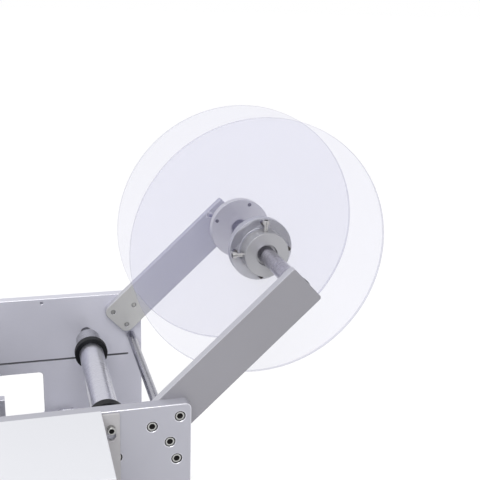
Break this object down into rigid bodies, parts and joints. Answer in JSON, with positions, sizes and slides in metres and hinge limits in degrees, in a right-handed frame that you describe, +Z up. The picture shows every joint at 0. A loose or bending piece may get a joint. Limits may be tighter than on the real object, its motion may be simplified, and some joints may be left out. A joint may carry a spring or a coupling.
{
  "type": "round bottle labeling machine",
  "caption": "Bench-top round bottle labeling machine with a tilted label reel, guide rollers, motor-driven bottle rollers, a hinged press roller and a white control box.",
  "frame": {"origin": "middle of the machine's bounding box, on the bench under the rubber feet", "axes": "+X from the operator's end towards the label reel, +Y from the control-box side towards the open side, +Z up"},
  "size_m": [0.6074, 0.38, 0.4543],
  "materials": {
    "anodised_aluminium": "satin, brushed lengthwise",
    "screw_steel": "zinc plated",
    "dark_steel": "blackened",
    "bright_steel": "ground",
    "rubber_black": "matt",
    "black_plastic": "fine grain",
    "clear_acrylic": "polished",
    "roller_aluminium": "turned, satin",
    "white_coat": "smooth powder coat",
    "strip_grey": "satin paint",
    "motor_paint": "semi-gloss",
    "display_plastic": "gloss",
    "key_blue": "satin",
    "key_green": "satin",
    "red_plastic": "gloss",
    "board_green": "solder mask"
  },
  "bodies": {
    "machine_frame": {"near_side_plate": "anodised_aluminium", "far_side_plate": "anodised_aluminium", "base_plate": "anodised_aluminium", "rubber_feet": "rubber_black", "tie_rods": "bright_steel", "frame_screws": "dark_steel", "arm_screws": "screw_steel", "near_arm": "anodised_aluminium", "far_arm": "anodised_aluminium", "shaft_bushes": "black_plastic", "guide_axles": "dark_steel", "guide_collars": "anodised_aluminium", "roller_bearings": "bright_steel", "peel_plate": "anodised_aluminium", "slide_rods": "bright_steel", "pivot_shafts": "bright_steel", "gear_motor": "motor_paint", "mounting_plate": "strip_grey", "control_cover": "white_coat", "cover_screws": "screw_steel", "display_window": "display_plastic", "power_inlet": "black_plastic", "control_board": "board_green", "timing_belt": "rubber_black", "rewind_belt": "rubber_black"},
    "reel": {"reel_shaft": "bright_steel"},
    "near_reel_side": {"near_hub": "anodised_aluminium", "near_disc": "clear_acrylic", "near_hub_screws": "screw_steel"},
    "far_reel_side": {"far_hub": "anodised_aluminium", "far_disc": "clear_acrylic", "far_hub_screws": "screw_steel"},
    "upper_guide": {"guide_roller": "roller_aluminium", "guide_flanges": "black_plastic"},
    "front_guide": {"front_guide_roller": "roller_aluminium"},
    "driven_bottle_roller": {"bottle_roller": "roller_aluminium", "bottle_rubber": "rubber_black", "bottle_pulley": "roller_aluminium"},
    "feed_roller": {"drive_roller": "roller_aluminium", "drive_rubber": "rubber_black", "drive_pulley": "roller_aluminium"},
    "motor_output": {"motor_pulleys": "roller_aluminium"},
    "rewind_drive": {"rewind_pulley": "roller_aluminium"},
    "rewind": {"rewind_spindle": "roller_aluminium"},
    "liner_wire": {"liner_clip": "bright_steel"},
    "idle_bottle_roller": {"idle_roller": "roller_aluminium"},
    "pinch": {"pinch_frame": "dark_steel"},
    "pinch_wheel": {"pinch_roller": "rubber_black"},
    "press": {"press_arms": "anodised_aluminium", "press_handle": "black_plastic"},
    "press_wheel": {"press_roller": "rubber_black"},
    "sensor": {"label_sensor": "black_plastic"},
    "stop": {"bottle_stop": "anodised_aluminium"},
    "clamp_knob": {"stop_knob": "black_plastic"},
    "up_key": {"key_up": "key_blue"},
    "down_key": {"key_down": "key_blue"},
    "set_key": {"key_set": "key_green"},
    "dial": {"delay_dial": "black_plastic"},
    "emergency_button": {"stop_button": "red_plastic"},
    "rocker": {"power_switch": "red_plastic"}
  },
  "joints": [
    {"name": "reel_spin", "type": "hinge", "parent": "machine_frame", "child": "reel", "pos_m": [0.1737, 0.04925, 0.3243], "axis": [0, 1, 0], "continuous": true},
    {"name": "near_hub_slide", "type": "slide", "parent": "reel", "child": "near_reel_side", "axis": [0, 1, 0], "range_m": [-0.085, 0.03]},
    {"name": "far_hub_slide", "type": "slide", "parent": "reel", "child": "far_reel_side", "axis": [0, 1, 0], "range_m": [-0.03, 0.024]},
    {"name": "guide_spin", "type": "hinge", "parent": "machine_frame", "child": "upper_guide", "pos_m": [0.0131, 0.04925, 0.1915], "axis": [0, 1, 0], "continuous": true},
    {"name": "front_guide_spin", "type": "hinge", "parent": "machine_frame", "child": "front_guide", "pos_m": [-0.1137, 0.04925, 0.189], "axis": [0, 1, 0], "continuous": true},
    {"name": "bottle_spin", "type": "hinge", "parent": "machine_frame", "child": "driven_bottle_roller", "pos_m": [-0.2197, 0.04925, 0.121], "axis": [0, 1, 0], "continuous": true},
    {"name": "drive_spin", "type": "hinge", "parent": "machine_frame", "child": "feed_roller", "pos_m": [-0.1457, 0.04925, 0.095], "axis": [0, 1, 0], "continuous": true},
    {"name": "motor_spin", "type": "hinge", "parent": "machine_frame", "child": "motor_output", "pos_m": [-0.1017, 0.04925, 0.0665], "axis": [0, 1, 0], "continuous": true},
    {"name": "rewind_pulley_spin", "type": "hinge", "parent": "machine_frame", "child": "rewind_drive", "pos_m": [-0.0187, 0.04925, 0.085], "axis": [0, 1, 0], "continuous": true},
    {"name": "rewind_spin", "type": "hinge", "parent": "machine_frame", "child": "rewind", "pos_m": [-0.0187, 0.04925, 0.085], "axis": [0, 1, 0], "continuous": true},
    {"name": "liner_clip_lift", "type": "slide", "parent": "rewind", "child": "liner_wire", "axis": [0, 0, 1], "range_m": [0, 0.02]},
    {"name": "idle_spin", "type": "hinge", "parent": "machine_frame", "child": "idle_bottle_roller", "pos_m": [-0.2657, 0.04925, 0.121], "axis": [0, 1, 0], "continuous": true},
    {"name": "pinch_lift", "type": "hinge", "parent": "machine_frame", "child": "pinch", "pos_m": [-0.0977, 0.04925, 0.132], "axis": [0, 1, 0], "range_deg": [0, 20]},
    {"name": "pinch_spin", "type": "hinge", "parent": "pinch", "child": "pinch_wheel", "pos_m": [-0.1317, 0.04925, 0.12299], "axis": [0, 1, 0], "continuous": true},
    {"name": "press_lift", "type": "hinge", "parent": "machine_frame", "child": "press", "pos_m": [-0.1377, 0.04925, 0.22], "axis": [0, 1, 0], "range_deg": [0, 80]},
    {"name": "press_roller_spin", "type": "hinge", "parent": "press", "child": "press_wheel", "pos_m": [-0.24039, 0.04925, 0.18058], "axis": [0, 1, 0], "continuous": true},
    {"name": "sensor_slide", "type": "slide", "parent": "machine_frame", "child": "sensor", "axis": [0, 1, 0], "range_m": [-0.06, 0.15]},
    {"name": "stop_slide", "type": "slide", "parent": "machine_frame", "child": "stop", "axis": [0, 1, 0], "range_m": [-0.03, 0.175]},
    {"name": "stop_knob_turn", "type": "hinge", "parent": "stop", "child": "clamp_knob", "pos_m": [-0.2947, -0.0195, 0.142], "axis": [0, 0, 1], "range_deg": [0, 90]},
    {"name": "key_up_push", "type": "slide", "parent": "machine_frame", "child": "up_key", "axis": [0.7071, 0, -0.7071], "range_m": [0, 0.0012], "stiffness_N_per_m": 300, "springref_m": -0.0008},
    {"name": "key_down_push", "type": "slide", "parent": "machine_frame", "child": "down_key", "axis": [0.7071, 0, -0.7071], "range_m": [0, 0.0012], "stiffness_N_per_m": 300, "springref_m": -0.0008},
    {"name": "key_set_push", "type": "slide", "parent": "machine_frame", "child": "set_key", "axis": [0.7071, 0, -0.7071], "range_m": [0, 0.0012], "stiffness_N_per_m": 300, "springref_m": -0.0008},
    {"name": "delay_dial_turn", "type": "hinge", "parent": "machine_frame", "child": "dial", "pos_m": [-0.2182, -0.12, 0.1657], "axis": [-0.7071, 0, 0.7071], "range_deg": [0, 270]},
    {"name": "stop_button_push", "type": "slide", "parent": "machine_frame", "child": "emergency_button", "axis": [0.7071, 0, -0.7071], "range_m": [0, 0.004]},
    {"name": "power_rocker_tip", "type": "hinge", "parent": "machine_frame", "child": "rocker", "pos_m": [0.0011, -0.15352, 0.09565], "axis": [0, 1, 0], "range_deg": [0, 9.5]}
  ],
  "couplings": [
    {"joint": "drive_spin", "follows": "bottle_spin", "ratio": 1.1111},
    {"joint": "motor_spin", "follows": "bottle_spin", "ratio": 2},
    {"joint": "rewind_pulley_spin", "follows": "bottle_spin", "ratio": 1.4286}
  ]
}
